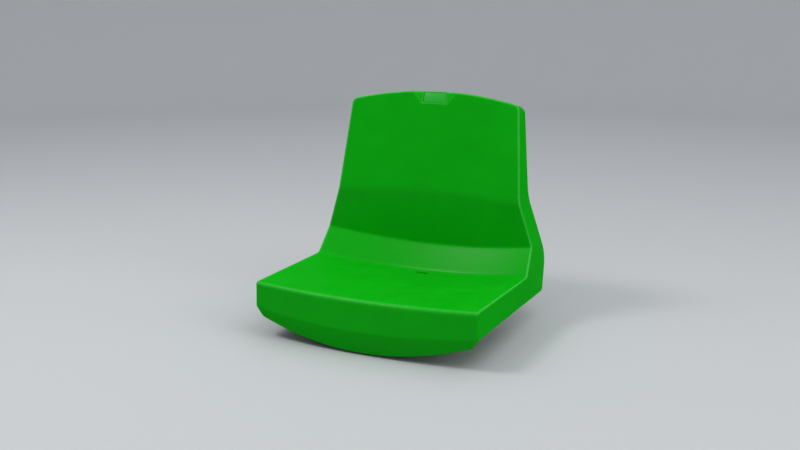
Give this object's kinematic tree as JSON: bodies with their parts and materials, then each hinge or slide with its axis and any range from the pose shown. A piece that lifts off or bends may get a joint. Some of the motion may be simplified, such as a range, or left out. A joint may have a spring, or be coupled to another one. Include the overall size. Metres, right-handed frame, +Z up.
{
  "type": "stadium seat",
  "caption": "One-piece moulded plastic stadium seat shell with a deep wrap-round skirt and a blank number plate, bolted to folded steel feet for fixing to a tread.",
  "frame": {"origin": "on the floor plane under the feet, midway across the seat and midway between its front and rear limits", "axes": "+Z up, +Y towards the back of the seat, +X to the right as seen from the front"},
  "size_m": [0.4716, 0.3896, 0.4537],
  "materials": {
    "shell_plastic": "satin, lightly grained injection-moulded polypropylene",
    "plate_plastic": "smooth satin",
    "galvanised_steel": "hot-dip galvanised, dull spangle",
    "zinc_plated_steel": "bright zinc plated",
    "insert_brass": "turned"
  },
  "bodies": {
    "root": {"seat_shell": "shell_plastic", "number_plate": "plate_plastic", "foot_left": "galvanised_steel", "foot_right": "galvanised_steel", "insert_left_front": "insert_brass", "insert_left_rear": "insert_brass", "insert_right_front": "insert_brass", "insert_right_rear": "insert_brass", "bolt_left_front": "zinc_plated_steel", "bolt_left_rear": "zinc_plated_steel", "bolt_right_front": "zinc_plated_steel", "bolt_right_rear": "zinc_plated_steel", "washer_left_front": "zinc_plated_steel", "washer_left_rear": "zinc_plated_steel", "washer_right_front": "zinc_plated_steel", "washer_right_rear": "zinc_plated_steel", "lock_washer_left_front": "zinc_plated_steel", "lock_washer_left_rear": "zinc_plated_steel", "lock_washer_right_front": "zinc_plated_steel", "lock_washer_right_rear": "zinc_plated_steel"}
  },
  "joints": []
}
